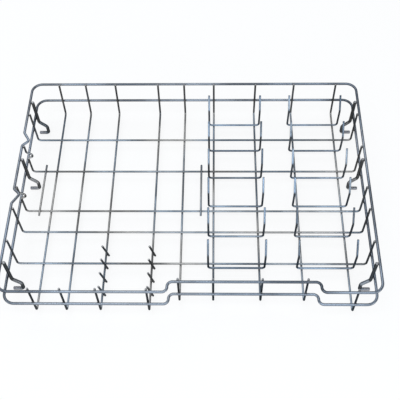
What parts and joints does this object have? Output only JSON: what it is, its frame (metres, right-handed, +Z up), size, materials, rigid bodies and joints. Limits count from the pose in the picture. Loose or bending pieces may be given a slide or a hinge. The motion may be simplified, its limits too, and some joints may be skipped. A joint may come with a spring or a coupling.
{
  "type": "dishwasher basket",
  "caption": "Shallow wire basket for a compact dishwasher: two rims round a mesh floor, columns of plate tines, cup pins and hooks that end in wheel axles.",
  "frame": {"origin": "on the ground under the middle of the basket", "axes": "+X across the basket to the side of the plate tines, +Y from the recessed front to the back, +Z up"},
  "size_m": [0.4736, 0.3426, 0.0703],
  "materials": {
    "rim_steel": "bright drawn wire",
    "mesh_steel": "bright drawn wire",
    "hook_steel": "bright drawn wire"
  },
  "bodies": {
    "root": {"axle_hook_left_back": "hook_steel", "axle_hook_left_front": "hook_steel", "axle_hook_left_middle": "hook_steel", "axle_hook_right_back": "hook_steel", "axle_hook_right_front": "hook_steel", "axle_hook_right_middle": "hook_steel", "cross_wire_1": "mesh_steel", "cross_wire_2": "mesh_steel", "cross_wire_3": "mesh_steel", "cross_wire_4": "mesh_steel", "cross_wire_5": "mesh_steel", "cup_pin_3_1": "mesh_steel", "cup_pin_3_2": "mesh_steel", "cup_pin_3_3": "mesh_steel", "cup_pin_3_4": "mesh_steel", "cup_pin_4_1": "mesh_steel", "cup_pin_4_2": "mesh_steel", "cup_pin_4_3": "mesh_steel", "cup_pin_4_4": "mesh_steel", "floor_wire_1": "mesh_steel", "floor_wire_2": "mesh_steel", "floor_wire_3": "mesh_steel", "floor_wire_4": "mesh_steel", "floor_wire_5": "mesh_steel", "floor_wire_6": "mesh_steel", "floor_wire_7": "mesh_steel", "floor_wire_8": "mesh_steel", "floor_wire_9": "mesh_steel", "lower_rim": "rim_steel", "stop_wire_left": "mesh_steel", "stop_wire_right": "mesh_steel", "tine_wire_a1": "mesh_steel", "tine_wire_a2": "mesh_steel", "tine_wire_a3": "mesh_steel", "tine_wire_a4": "mesh_steel", "tine_wire_a5": "mesh_steel", "tine_wire_a6": "mesh_steel", "tine_wire_b1": "mesh_steel", "tine_wire_b2": "mesh_steel", "tine_wire_b3": "mesh_steel", "tine_wire_b4": "mesh_steel", "tine_wire_b5": "mesh_steel", "tine_wire_b6": "mesh_steel", "upper_rim": "rim_steel"}
  },
  "joints": []
}
